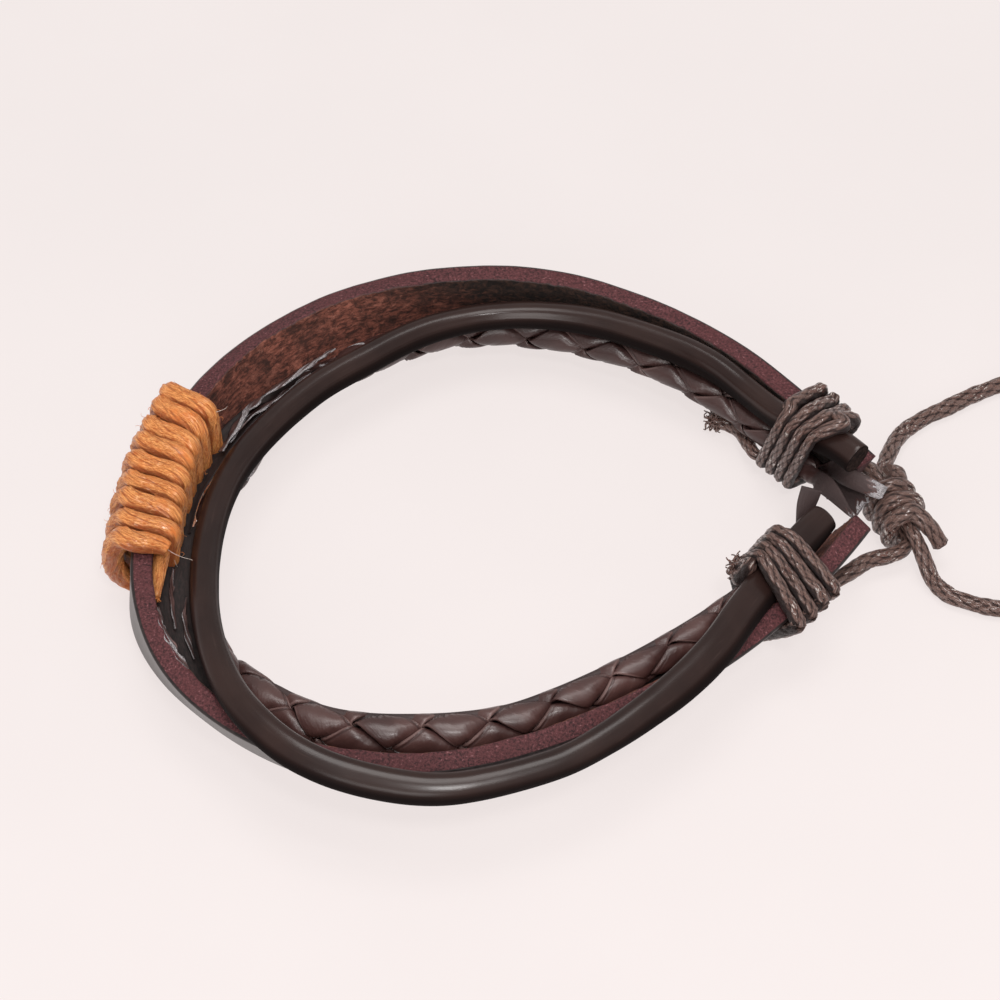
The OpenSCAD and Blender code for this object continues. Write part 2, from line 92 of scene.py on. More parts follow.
CORD_ROWS = [
    [34.5, -0.6, 10.8, 1.6, 52], [32.9, 1.3, 10.7, 1.6, 48], [30.2, 3.7, 9.9, 1.6, 28],
    [27.5, 6.8, 8.6, 1.6, 0], [24.2, 10.8, 8.2, 1.6, 2], [21.7, 13.2, 8.5, 1.6, 10],
    [19.3, 14.9, 8.6, 1.6, 20], [16.1, 16.7, 8.6, 1.55, 30], [10.1, 19.6, 8.3, 1.45, 30],
    [4.0, 21.1, 7.9, 1.35, 30], [-2.0, 21.0, 7.6, 1.35, 30], [-8.1, 18.8, 7.7, 1.45, 35],
    [-14.0, 14.8, 7.6, 1.5, 35], [-17.9, 11.8, 7.6, 1.5, 35], [-21.7, 7.5, 7.6, 1.5, 35],
    [-24.5, 3.2, 7.8, 1.5, 35], [-26.6, -2.0, 8.3, 1.45, 40], [-27.7, -8.0, 8.8, 1.4, 40],
    [-27.9, -14.0, 9.4, 1.35, 50], [-27.3, -20.2, 10.1, 1.35, 70], [-25.6, -26.3, 10.8, 1.45, 90],
    [-23.0, -31.3, 11.3, 1.55, 110], [-18.5, -35.7, 11.1, 1.6, 120], [-12.4, -38.1, 10.4, 1.6, 120],
    [-4.5, -38.9, 10.0, 1.5, 120], [4.5, -36.4, 10.0, 1.4, 120], [9.1, -33.9, 10.3, 1.45, 120],
    [13.1, -30.9, 10.6, 1.6, 120], [16.9, -27.4, 10.7, 1.75, 120], [20.2, -23.4, 10.8, 1.75, 120],
    [22.7, -19.0, 10.5, 1.75, 120], [26.1, -13.5, 9.8, 1.75, 122], [29.5, -8.8, 9.65, 1.65, 120],
    [30.9, -6.8, 9.4, 1.5, 118],
]
BRAID_ROWS = [
    [31.1, 3.0, 4.5, 0.72], [29.3, 5.2, 4.4, 0.75], [27.0, 7.7, 4.4, 0.75], [23.6, 11.0, 4.7, 0.8],
    [20.2, 13.7, 5.0, 0.84], [15.7, 16.9, 5.2, 0.88], [10.0, 19.7, 5.0, 0.92], [4.1, 21.8, 4.6, 0.95],
    [-1.0, 22.4, 4.4, 0.97], [-6.1, 21.7, 4.5, 1], [-12.2, 18.9, 4.7, 1], [-18.2, 15.0, 4.5, 1],
    [-22.7, 11.0, 4.2, 0.92], [-25.1, 5.6, 3.9, 0.85], [-28.0, -1.0, 4.0, 0.82], [-28.9, -8.0, 4.0, 0.85],
    [-29.0, -13.4, 4.1, 0.95], [-27.6, -18.4, 4.3, 1], [-25.2, -22.0, 4.6, 1], [-21.2, -25.8, 5.1, 1.05],
    [-17.0, -28.4, 5.4, 1.1], [-13.0, -29.6, 5.7, 1.12], [-9.0, -29.8, 5.7, 1.12], [-4.0, -29.6, 5.7, 1.12],
    [1.0, -28.6, 5.7, 1.08], [5.4, -26.8, 5.95, 1.04], [9.3, -24.8, 6.2, 1.0], [13.1, -22.6, 6.55, 0.94],
    [16.9, -20.1, 7.0, 0.86], [21.2, -16.7, 7.2, 0.8], [25.2, -12.5, 7.3, 0.75], [29.2, -7.7, 7.2, 0.75],
]
LOOSE_1 = [[37.3, -2.2, 7.5, 0.7, 50], [34.0, -0.3, 7.7, 1.0, 30], [32.6, 1.9, 6.6, 1.0, 20]]
LOOSE_2 = [[34.1, -5.2, 7.4, 0.15, -130], [32.1, -1.2, 7.0, 0.9, -135], [31.1, 0.9, 5.9, 1.0, -145]]
LOOSE_4 = [[35.4, -2.3, 5.5, 1.1, -130], [33.6, 0.0, 5.2, 1.1, -135], [32.2, 1.3, 4.1, 1.0, -150]]
LOOSE_LOW = [[29.0, -6.2, 7.9, 1.0, 160], [29.4, -5.1, 9.2, 1.05, 135], [29.9, -4.1, 10.6, 1.05, 120]]
UPPER_TAIL = [[21.5, 12.4, 2.0, 1], [24.0, 11.0, 1.9, 1]]
LOWER_TAIL = [[22.6, -12.4, 8.9, 1], [22.7, -13.8, 9.1, 1]]
WRAP_TAIL = [
    [-32.1, -8.6, 8.0, 0.8], [-32.2, -10.4, 8.3, 0.76], [-32.35, -12.6, 8.1, 0.64], [-32.5, -15.0, 7.5, 0.4],
]

# Corners of the bulging hull on which the wrap is wound, outwards and upwards from the strap's middle line
WRAP_HULL = [[1.05, -3.8], [1.66, -1.6], [1.66, 1.6], [1.05, 3.8], [-1.5, 3.65], [-1.75, 1.9], [-1.1, -3.8]]

# Torn slivers, each after how torn it is, and smooth strips of the braid pressed flat, nearly black as
# painted shade in the gaps beside and under the braid
PEELS = [
    (1.0, [
        [-27.4, 3.8, 6.9, 0.4, 40], [-26.1, 6.6, 7.1, 0.9, 45], [-24.8, 9.1, 7.2, 1.1, 45],
        [-22.7, 11.3, 7.3, 1.0, 45], [-20.6, 13.2, 7.3, 1.1, 45], [-18.5, 15.3, 7.4, 1.0, 45],
        [-16.6, 17.0, 7.4, 0.5, 45],
    ]),
    (0.9, [
        [-26.6, 5.2, 6.5, 0.3, 50], [-24.9, 8.0, 6.9, 0.8, 50], [-23.0, 9.9, 6.9, 0.6, 50],
        [-20.9, 11.8, 7.0, 0.8, 50], [-18.9, 13.9, 7.0, 0.4, 50],
    ]),
    (0.6, [
        [-31.2, -10.6, 6.3, 0.15, 70], [-31.3, -13.0, 6.5, 0.28, 70], [-31.0, -15.6, 6.5, 0.3, 70],
        [-30.6, -18.0, 6.5, 0.12, 70],
    ]),
    (0.8, [
        [-32.1, -17.6, 9.35, 0.1, 70], [-31.6, -19.6, 9.35, 0.34, 70], [-30.6, -21.9, 9.35, 0.38, 70],
        [-29.7, -23.7, 9.35, 0.34, 70], [-28.8, -25.0, 9.4, 0.1, 70],
    ]),
    (0.6, [
        [-29.8, -14.2, 6.5, 0.1, 75], [-29.8, -16.4, 6.6, 0.24, 75], [-29.4, -19.0, 6.6, 0.26, 75],
        [-28.6, -21.6, 6.6, 0.1, 75],
    ]),
]
SHADE_STRIPS = [
    [[-30.2, -6.0, 6.0, 0.4, 80], [-29.7, -1.4, 6.0, 0.75, 80], [-28.2, 3.2, 5.9, 1.2, 75],
     [-26.4, 7.0, 5.9, 1.35, 75], [-24.2, 10.0, 5.9, 1.1, 70], [-21.6, 12.6, 6.0, 0.8, 70],
     [-18.6, 15.4, 6.0, 0.4, 70]],
    [[-29.9, -5.0, 5.9, 0.5, 80], [-30.6, -9.6, 5.9, 1.4, 80], [-30.9, -14.0, 5.9, 1.85, 80],
     [-30.2, -18.2, 6.0, 1.5, 80], [-29.0, -21.8, 6.0, 1.35, 80], [-28.0, -24.6, 6.0, 1.5, 80],
     [-26.2, -27.2, 6.0, 1.1, 80]],
    [[9.5, -26.4, 5.2, 0.8, 75], [12.6, -24.6, 5.2, 1.4, 75], [15.6, -22.6, 5.2, 1.4, 75],
     [18.6, -20.4, 5.4, 0.8, 75]],
]

# Ends of the sliding knot's line, its cut stub, and the two tie cords from knot to tip
SLIDE_LOW = [39.8, -3.2, 3.3]
SLIDE_HIGH = [37.6, 1.9, 3.3]
SLIDE_STUB = [[42.9, -4.7, 2.9, 1], [42.0, -4.1, 4.3, 1]]
LOWER_TIE = [
    [34.5, 7.3, 2.1, 0.97], [35.5, 5.6, 2.6, 1], [36.5, 4.1, 3.9, 0.95], [37.1, 2.9, 4.1, 0.85],
    [37.6, 1.9, 4.05, SQUEEZE], [39.7, -3.2, 4.05, SQUEEZE], [40.5, -5.0, 3.8, 0.9], [41.3, -6.5, 2.4, 1],
    [42.1, -7.9, 1.2, 1], [43.5, -9.4, 0.9, 1], [45.1, -10.2, 0.9, 1], [47.2, -10.9, 0.9, 1],
    [49.6, -11.3, 0.9, 1], [52.4, -11.5, 0.9, 1], [55.2, -11.5, 0.9, 1], [57.6, -11.4, 0.9, 1],
]
UPPER_TIE = [
    [33.8, -7.6, 2.0, 1], [35.8, -6.2, 2.2, 1], [37.8, -5.6, 2.2, 1], [39.3, -4.9, 2.3, 0.9],
    [39.7, -3.2, 2.55, SQUEEZE], [37.6, 1.9, 2.55, SQUEEZE], [37.5, 3.7, 2.5, 0.9], [38.3, 6.2, 2.1, 1],
    [39.3, 9.1, 1.4, 1], [40.7, 11.6, 0.9, 1], [42.9, 13.4, 0.9, 1], [45.1, 14.7, 0.9, 1],
    [47.2, 16.0, 0.9, 1], [49.4, 17.2, 0.9, 1], [51.9, 18.3, 0.9, 1], [54.5, 19.2, 0.9, 1],
    [57.0, 19.8, 0.9, 1],
]


# Camera, straight in front of the bracelet and 50 degrees above the table, aimed 4 mm above it
CAMERA_AWAY = 350
camera = bpy.data.objects.new("camera", bpy.data.cameras.new("camera"))
camera.data.sensor_width = 36
camera.data.lens = 128.57
target = np.array([0, 0, 4]) - MIDDLE
tilt = np.radians(50)
camera.location = (target + CAMERA_AWAY * np.array([0, -np.cos(tilt), np.sin(tilt)])) * MM
camera.rotation_euler = (np.pi / 2 - tilt, 0, 0)
camera.data.clip_start = 0.02
scene.collection.objects.link(camera)
scene.camera = camera
scene.view_settings.view_transform = "Standard"


def unit(v):
    """Vectors of length 1."""
    return v / np.linalg.norm(v, axis=-1, keepdims=True)


def at_angle(a):
    """Directions (out, up) at angles from outwards: the angle's cosine and sine."""
    return np.stack([np.cos(a), np.sin(a)], -1)


def bell(x, middle, width):
    """Bell curve, 1 at its middle and 0.37 at its width from there."""
    return np.exp(-(((x - middle) / width) ** 2))


def cubic(a, b, c, d, t):
    """Share t of the way from b to c, on the cubic whose slope at each is half the step between its
    neighbours."""
    return b + ((c - a) * t + (2 * a - 5 * b + 4 * c - d) * t**2 + (3 * b - a - 3 * c + d) * t**3) / 2


def smooth(rows, steps):
    """Rows on the cubics through a table, in equal steps from each row to the next."""
    rows = np.asarray(rows, float)
    ends = np.vstack([2 * rows[0] - rows[1], rows, 2 * rows[-1] - rows[-2]])
    a, b, c, d = (ends[k : len(ends) - 3 + k, None] for k in range(4))
    t = (np.arange(steps) / steps)[None, :, None]
    return np.vstack([cubic(a, b, c, d, t).reshape(-1, rows.shape[1]), rows[-1]])


def shifted(rows):
    """Rows with the middle taken off their places."""
    rows = np.array(rows, float)
    rows[:, :3] -= MIDDLE
    return rows


def reach(path):
    """Distance along a path to each of its places."""
    return np.r_[0, np.cumsum(np.linalg.norm(np.diff(path[:, :3], axis=0), axis=1))]


def row_at(path, far, s):
    """Rows of a path at distances s, each column read between its neighbours."""
    return np.stack([np.interp(s, far, column) for column in path.T], -1)


def spaced(rows, step, steps=10):
    """A table's curve with its rows a step apart."""
    path = smooth(rows, steps)
    far = reach(path)
    return row_at(path, far, np.linspace(0, far[-1], int(far[-1] / step) + 1))


def softened(path, width):
    """A path whose rows are averaged over a stretch of steps, by a raised cosine; its ends stay."""
    weight = np.hanning(2 * width + 1)[1:-1]
    before = 2 * path[0] - path[width - 1 : 0 : -1]
    after = 2 * path[-1] - path[-2 : -width - 1 : -1]
    kept = np.vstack([before, path, after])
    return np.stack([np.convolve(column, weight / weight.sum(), "valid") for column in kept.T], -1)


def headings(path):
    """Direction of a path at each of its places, from the place before to the place after."""
    return unit(np.gradient(path[:, :3], axis=0))


def across(t, turn):
    """Directions across headings t: outwards and upwards, with the top turned outwards by an angle."""
    up = unit(np.array([0, 0, 1]) - t * t[..., 2:])
    out = np.cross(t, up)
    c, s = np.cos(np.radians(turn))[..., None], np.sin(np.radians(turn))[..., None]
    return out * c - up * s, up * c + out * s


def carried(path):
    """Directions across a path, carried along it without twisting: each is the one before, less its part
    along the heading."""
    t = headings(path)
    up = [unit(np.array([0, 0, 1]) - t[0] * t[0, 2])]
    for heading in t[1:]:
        up.append(unit(up[-1] - heading * (heading @ up[-1])))
    up = np.array(up)
    return np.cross(t, up), up


def laid(path, pair, outline):
    """Rings of places: each outline of (out, up) laid on a pair of directions round a path's place."""
    outline = np.broadcast_to(outline, (len(path),) + np.shape(outline)[-2:])
    return path[:, None, :3] + pair[0][:, None] * outline[..., :1] + pair[1][:, None] * outline[..., 1:]


def wander(u, step, seed):
    """Smooth chance value from about -1 to 1 along distances u: the cubics through seeded values that
    are a step apart."""
    chance = np.random.default_rng(seed).uniform(-1, 1, 400)
    x = np.asarray(u) / step + 3
    i = np.floor(x).astype(int) % 396
    t = x - np.floor(x)
    return cubic(*(chance[i + k] for k in range(4)), t)


def skin(grid, along=None, around=None, mark=0.0):
    """Closed skin over rings of places, each end one flat face: places, faces, distances along and
    around in millimetres at each face's corners, and a mark for each place. Where the volume inside
    comes out below 0, every face is turned round."""
    rings, points = grid.shape[:2]
    if along is None:
        along = reach(grid.mean(axis=1))
    if around is None:
        around = np.linspace(0, 1, points + 1) * np.linalg.norm(np.diff(grid, axis=1), axis=2).sum(1).mean()
    i, j = np.mgrid[: rings - 1, :points]
    k = (j + 1) % points
    sides = np.stack([i * points + j, i * points + k, (i + 1) * points + k, (i + 1) * points + j], -1)
    sides = sides.reshape(-1, 4)
    ends = np.stack([np.arange(points)[::-1], np.arange(points) + (rings - 1) * points])
    u = np.stack([along[i], along[i], along[i + 1], along[i + 1]], -1)
    v = np.stack([around[j], around[j + 1], around[j + 1], around[j]], -1)
    side_uv = np.stack([u, v], -1).reshape(-1, 4, 2)
    end_uv = np.stack([np.repeat(along[[0, -1]], points).reshape(2, -1), around[ends % points]], -1)
    a, b, c, d = grid.reshape(-1, 3)[sides].transpose(1, 0, 2)
    if np.sum(a * np.cross(b, c)) + np.sum(a * np.cross(c, d)) < 0:
        sides, ends, side_uv, end_uv = sides[:, ::-1], ends[:, ::-1], side_uv[:, ::-1], end_uv[:, ::-1]
    uv = np.vstack([side_uv.reshape(-1, 2), end_uv.reshape(-1, 2)])
    mark = np.broadcast_to(np.asarray(mark, float), grid.shape[:2])
    return grid.reshape(-1, 3), (sides, ends), uv, mark.ravel()


def piece(name, finish, slot, skins, *nodes):
    """One mesh of all its skins, which rides on the bracelet and stands for nodes of the frame."""
    start = np.cumsum([0] + [len(s[0]) for s in skins])
    mesh = bpy.data.meshes.new(name)
    faces = [face for s, at in zip(skins, start) for part in s[1] for face in (part + at).tolist()]
    places = np.vstack([s[0] for s in skins])
    places[:, 2] = np.maximum(places[:, 2], 0)
    mesh.from_pydata((places * MM).tolist(), [], faces)
    uv = mesh.uv_layers.new(name="UVMap")
    uv.data.foreach_set("uv", np.concatenate([s[2] for s in skins]).astype("f").ravel())
    mark = mesh.attributes.new("mark", "FLOAT", "POINT")
    mark.data.foreach_set("value", np.concatenate([s[3] for s in skins]).astype("f"))
    mesh.polygons.foreach_set("use_smooth", [len(face) == 4 for face in faces])
    mesh.materials.append(finish)
    mesh.update()
    made = bpy.data.objects.new(name, mesh)
    scene.collection.objects.link(made)
    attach(made, "root")
    if nodes:
        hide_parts(*nodes)
    return made


class Value:
    """A shader socket. Sums, differences and products of it add Math nodes."""

    def __init__(self, finish, socket):
        self.finish, self.socket = finish, socket

    def math(self, operation, *others):
        return self.finish.node("Math", {"operation": operation}, *others)

    def __add__(self, other):
        return self.math("ADD", self, other)

    def __sub__(self, other):
        return self.math("SUBTRACT", self, other)

    def __rsub__(self, other):
        return self.math("SUBTRACT", other, self)

    def __mul__(self, other):
        return self.math("MULTIPLY", self, other)

    __radd__, __rmul__ = __add__, __mul__

    def over(self, other):
        """The larger of two values."""
        return self.math("MAXIMUM", self, other)

    def above(self, low, high):
        """0 below low, 1 above high and a smooth step between; falls instead where low is above high."""
        settings = {"interpolation_type": "SMOOTHSTEP"}
        if low < high:
            return self.finish.node("MapRange", settings, self, low, high)
        return 1 - self.finish.node("MapRange", settings, self, high, low)


class Finish:
    """A material with one principled shader, whose constants are set on its own sockets."""

    def __init__(self, name, **constants):
        self.material = bpy.data.materials.new(name)
        self.material.use_nodes = True
        self.tree = self.material.node_tree
        self.shader = self.tree.nodes["Principled BSDF"]
        for key, value in constants.items():
            self.feed(key.replace("_", " "), value)

    def put(self, socket, value):
        """A link from a value, a constant, or for None what the socket has."""
        if isinstance(value, Value):
            self.tree.links.new(value.socket, socket)
        elif value is not None:
            socket.default_value = value

    def feed(self, name, value):
        self.put(self.shader.inputs[name], value)

    def node(self, kind, settings, *values, out=0, **named):
        """Any node: its type, its settings, then the values or links of its sockets in order or by name."""
        made = self.tree.nodes.new("ShaderNode" + kind)
        for key, value in settings.items():
            setattr(made, key, value)
        for socket, value in zip(made.inputs, values):
            self.put(socket, value)
        for key, value in named.items():
            self.put(made.inputs[key], value)
        return Value(self, made.outputs[out])

    def object(self):
        return self.node("TexCoord", {}, out="Object")

    def uv(self):
        """Distances along a piece and around it, in millimetres."""
        both = self.node("UVMap", {"uv_map": "UVMap"})
        return self.node("SeparateXYZ", {}, both), self.node("SeparateXYZ", {}, both, out=1)

    def mark(self):
        return self.node("Attribute", {"attribute_name": "mark"}, out="Fac")

    def at(self, x, y):
        return self.node("CombineXYZ", {}, x, y)

    def noise(self, where, scale, detail=2.0, rough=0.5, warp=0.0):
        sockets = {"Vector": where, "Scale": scale, "Detail": detail, "Roughness": rough, "Distortion": warp}
        return self.node("TexNoise", {}, **sockets)

    def mix(self, share, one, other):
        """Colour that is one where the share is 0 and the other where it is 1."""
        unused = [None] * 5
        return self.node("Mix", {"data_type": "RGBA"}, share, *unused, one, other, out=2)

    def coats(self, tone, *coats):
        """A colour with coats over it, each a share and a colour."""
        for share, colour in coats:
            tone = self.mix(share, tone, colour)
        return tone

    def relief(self, height, distance, strength):
        bump = self.node("Bump", {}, Strength=strength, Distance=distance, Height=height)
        self.feed("Normal", bump)


def rgb(r, g, b):
    """Colour of a screen's 0 to 255 values, as light."""
    c = np.array([r, g, b]) / 255
    return (*np.where(c > 0.04045, ((c + 0.055) / 1.055) ** 2.4, c / 12.92).tolist(), 1.0)


def strap_finish():
    """Flat strap, told apart by the distance round it: dark grain outside, burgundy cut edges with
    pores, and brown suede inside, with a painted shadow of the smooth cord near the upper end, whose
    limits waver a little."""
    f = Finish("strap_leather", Specular_IOR_Level=0.35)
    u, v = f.uv()
    where = f.object()
    waver = (f.noise(f.at(u, v), 0.9, 3) - 0.5) * 0.5
    edge_low, edge_high = OUTER_END, OUTER_END + EDGE
    inner_end = edge_high + STRAP_W - 0.4
    ragged = v + waver
    top = (v + waver * 0.15).above(edge_low + 0.1, edge_low + 0.18)
    top = top * ragged.above(edge_high + 0.1, edge_high - 0.12)
    low = v.above(inner_end - 0.1, inner_end + 0.1) * v.above(inner_end + EDGE + 0.1, inner_end + EDGE - 0.1)
    cut = top.over(low).over(f.mark())
    suede = ragged.above(edge_high - 0.05, edge_high + 0.15) * v.above(inner_end + 0.1, inner_end - 0.1)
    suede = suede * (1 - f.mark())
    pores = f.noise(where, 4200, 3, 0.7)
    blotch = f.noise(where, 260, 4, 0.6)
    nap = f.noise(where, 620, 5, 0.7, 0.6)
    streak = f.noise(f.at(u * 0.5, v * 1.6), 2.2, 5, 0.65, 0.6)
    tuft = f.noise(f.at(u * 0.8, v * 1.2), 1.5, 7, 0.72, 0.9)
    grain = f.noise(where, 1500, 4, 0.6)
    burgundy = f.coats(
        f.mix(pores.above(0.34, 0.6), rgb(38, 15, 18), rgb(86, 45, 48)),
        (blotch.above(0.35, 0.75) * 0.5, rgb(80, 38, 40)),
        (pores.above(0.62, 0.72) * 0.5, rgb(168, 124, 128)),
    )
    # Painted shadow of the smooth cord on the suede, towards the strap's upper end
    cord_shadow = (u + (tuft - 0.5) * 16 + (v - edge_high) * 2).above(66, 48)
    brown = f.coats(
        f.mix(streak.above(0.36, 0.64), rgb(64, 33, 26), rgb(128, 74, 60)),
        (tuft.above(0.56, 0.7) * 0.7, rgb(164, 110, 94)),
        (tuft.above(0.46, 0.36) * 0.6, rgb(38, 22, 19)),
        (nap.above(0.5, 0.36) * 0.8, rgb(46, 26, 21)),
        (nap.above(0.52, 0.66) * 0.6, rgb(158, 98, 82)),
        (blotch.above(0.5, 0.38) * 0.35, rgb(46, 26, 21)),
        (cord_shadow, f.mix(tuft.above(0.4, 0.66), rgb(26, 19, 17), rgb(62, 42, 34))),
    )
    skin_side = f.mix(grain.above(0.3, 0.7), rgb(26, 21, 21), rgb(44, 37, 36))
    f.feed("Base Color", f.coats(skin_side, (cut, burgundy), (suede, brown)))
    f.feed("Roughness", 0.34 + 0.42 * cut + 0.56 * suede + (grain - 0.5) * 0.12)
    height = suede * (tuft * 0.9 + streak * 0.5) + cut * pores * 0.35
    f.relief(height + (1 - suede) * (1 - cut) * grain * 0.1, 0.00022, 0.8)
    return f.material


def smooth_finish():
    """Satin dark brown leather: a very fine grain, faint long marks, painted shade that darkens it towards
    its lower side, where the mark grows, and matt at its cut ends, where it is 1."""
    warm = (1.0, 0.93, 0.9, 1.0)
    f = Finish("smooth_leather", Specular_IOR_Level=0.06, Coat_Roughness=0.24, Coat_Tint=warm)
    u, v = f.uv()
    where = f.object()
    grain = f.noise(where, 2600, 3, 0.55)
    long_marks = f.noise(f.at(u * 0.12, v * 2.2), 2.0, 3, 0.6)
    cloud = f.noise(where, 140, 3, 0.5)
    mark = f.mark()
    cut = mark.above(0.85, 0.95)
    tone = f.coats(
        f.mix(cloud.above(0.3, 0.7), rgb(33, 21, 19), rgb(44, 30, 27)),
        (long_marks.above(0.6, 0.75) * 0.25, rgb(66, 50, 46)),
        # Painted shade on the cord's lower side
        (mark.above(0.0, 0.6) * 0.9, rgb(13, 8, 8)),
        (cut, f.mix(grain.above(0.35, 0.7), rgb(24, 17, 16), rgb(46, 35, 32))),
    )
    f.feed("Base Color", tone)
    f.feed("Roughness", 0.42 + (grain - 0.5) * 0.16 + (long_marks - 0.5) * 0.12 + mark * 0.35)
    f.feed("Coat Weight", mark.above(0.3, 0.0) * (0.5 + (long_marks - 0.5) * 0.3))
    f.relief(grain * 0.25 + long_marks * 0.3 + cut * grain * 1.5, 0.00008, 0.7)
    return f.material


def braid_finish():
    """Glossy brown leather strips by their mark, which is the share across a strip from its middle:
    pressed grooves near one rim, darkened in them as painted shade, rims paler from wear and a painted
    highlight, and silvery torn leather where it passes 1. Pale streaks along the creases are a painted
    highlight, and the far side of the bracelet is darkened as a painted shadow of the smooth cord. Strips
    whose mark is below 0 are matt, and nearly black, as painted shade, where it is -1."""
    f = Finish("braided_leather", Specular_IOR_Level=0.4, Coat_Roughness=0.25)
    u, v = f.uv()
    where = f.object()
    mark = f.mark()
    grain = f.noise(where, 2100, 4, 0.6)
    crease = f.noise(f.at(u * 0.5, v * 2.4), 2.4, 4, 0.6, 0.4)
    cloud = f.noise(where, 210, 3, 0.5)
    rim = mark.above(0.86, 0.96) * mark.above(1.05, 1.0)
    groove = mark.above(0.72, 0.8) * mark.above(0.9, 0.82) * v.above(2.3, 2.0) * cloud.above(0.35, 0.6)
    torn = mark.above(1.05, 1.4)
    flake = f.noise(f.at(u * 1.6, v * 4.0), 2.8, 6, 0.85, 1.6)
    # Painted shadow of the smooth cord on the braid's far side
    far_shadow = f.node("SeparateXYZ", {}, where, out=1).above(0.0, 0.016)
    loose = mark.above(-0.1, -0.4)
    tone = f.coats(
        f.mix(cloud.above(0.3, 0.7), rgb(58, 37, 35), rgb(80, 55, 52)),
        # Pale streaks on the raised creases: painted highlight
        (crease.above(0.62, 0.8) * 0.35, rgb(130, 100, 96)),
        # Paler rims: wear and a painted highlight
        (rim * cloud.above(0.35, 0.65) * 0.5, rgb(140, 114, 110)),
        # Painted shade in the pressed grooves
        (groove * 0.4, rgb(34, 22, 22)),
        (far_shadow * 0.45, rgb(42, 28, 27)),
        (loose, f.mix(cloud.above(0.3, 0.7), rgb(46, 34, 34), rgb(62, 48, 47))),
        # Nearly black where the mark is -1: painted shade in the gaps that the strips pressed flat fill
        (mark.above(-0.7, -0.9), f.mix(crease.above(0.3, 0.7), rgb(17, 11, 11), rgb(42, 30, 29))),
        (torn, f.mix(flake.above(0.42, 0.56), rgb(38, 28, 28), rgb(214, 209, 212))),
    )
    f.feed("Base Color", tone)
    f.feed("Roughness", 0.37 + (grain - 0.5) * 0.2 + (cloud - 0.5) * 0.14 + torn.over(loose) * 0.25)
    f.feed("Coat Weight", 0.22 * (1 - torn.over(loose)))
    f.relief(grain * 0.2 + crease * 0.6 - groove * 0.9 + torn * flake * 3.0, 0.00012, 0.75)
    return f.material


def dark_wax_finish():
    """Dark waxed braided cord, with painted shade in deep brown between its strands, where the mark, their
    height, is low; grey-brown on them with reddish stretches, and small pale waxy crumbs that are partly
    painted glints."""
    f = Finish("dark_waxed_cord", Specular_IOR_Level=0.4, Coat_Roughness=0.14)
    u, v = f.uv()
    where = f.object()
    height = f.mark()
    fibre = f.noise(f.at(u * 1.4, v * 5.0), 2.6, 4, 0.7, 0.6)
    fine = f.noise(where, 3400, 3, 0.7)
    patch = f.noise(where, 330, 3, 0.6)
    crumb = f.noise(f.at(u * 1.2, v * 3.4), 1.9, 4, 0.7, 0.8)
    # Waxy crumbs on the strands' tops, partly painted glints
    wax_and_glints = (crumb + (patch - 0.5) * 0.7).above(0.61, 0.67) * height.above(0.35, 0.6)
    tone = f.coats(
        f.mix(fibre.above(0.3, 0.72), rgb(58, 37, 33), rgb(134, 104, 94)),
        (patch.above(0.5, 0.66) * 0.5, rgb(96, 54, 47)),
        # Painted shade between the strands and between the turns
        (height.above(0.6, 0.15), rgb(32, 17, 15)),
        (wax_and_glints, rgb(226, 216, 208)),
    )
    f.feed("Base Color", tone)
    f.feed("Roughness", 0.5 - patch * 0.14 + (fine - 0.5) * 0.3 - wax_and_glints * 0.2)
    f.feed("Coat Weight", crumb.above(0.4, 0.56) * height.above(0.35, 0.6))
    f.relief(fibre * 1.1 + fine * 0.4 + wax_and_glints * 0.8, 0.00016, 0.9)
    return f.material


def orange_wax_finish():
    """Orange waxed cord: long fibres in lighter and darker orange, painted shade in reddish brown in its
    hollows, and painted pale glints.
    """
    f = Finish("orange_waxed_cord", Specular_IOR_Level=0.35, Coat_Roughness=0.18)
    u, v = f.uv()
    where = f.object()
    height = f.mark()
    fibre = f.noise(f.at(u * 0.7, v * 3.4), 2.6, 6, 0.75, 0.9)
    fine = f.noise(where, 3000, 3, 0.7)
    patch = f.noise(where, 420, 4, 0.65)
    tone = f.coats(
        f.mix(fibre.above(0.36, 0.64), rgb(188, 90, 36), rgb(255, 182, 108)),
        (patch.above(0.48, 0.7) * 0.6, rgb(240, 136, 62)),
        # Painted shade in the hollows and between the turns
        (height.above(0.4, 0.05) * 0.7, rgb(150, 64, 28)),
        # Painted pale glints on the fibres
        ((fibre * fine).above(0.34, 0.44) * 0.7, rgb(255, 214, 160)),
    )
    f.feed("Base Color", tone)
    f.feed("Roughness", 0.62 - patch * 0.2 + (fine - 0.5) * 0.3)
    f.feed("Coat Weight", fibre.above(0.45, 0.62) * patch.above(0.35, 0.55))
    f.relief(fibre * 1.3 + fine * 0.45, 0.00024, 0.95)
    return f.material


def hair_finish():
    """Pale loose fibres."""
    f = Finish("loose_fibres", Roughness=0.5)
    f.feed("Base Color", f.mix(f.noise(f.object(), 500, 2), rgb(196, 178, 166), rgb(232, 222, 214)))
    return f.material


def table_finish():
    """Matt pale table with a hardly visible mottle, which glows by emission as painted light that lifts its
    shadows, and glows a little darker towards its far side as painted falloff of light.
    """
    f = Finish("table", Roughness=0.9, Specular_IOR_Level=0.1, Emission_Strength=0.82)
    mottle = f.noise(f.object(), 26, 4, 0.55)
    f.feed("Base Color", f.mix(mottle.above(0.3, 0.7), rgb(92, 90, 90), rgb(96, 94, 94)))
    place = f.node("SeparateXYZ", {}, f.object(), out=1)
    # Painted light: the table's glow, dimmer towards the far side
    f.feed("Emission Color", f.mix(place.above(-0.06, 0.07), rgb(250, 240, 238), rgb(243, 234, 232)))
    return f.material


# Flat strap
strap = softened(spaced(shifted(STRAP_ROWS), 0.5), 9)
strap_far = reach(strap)
strap_heading = headings(strap)


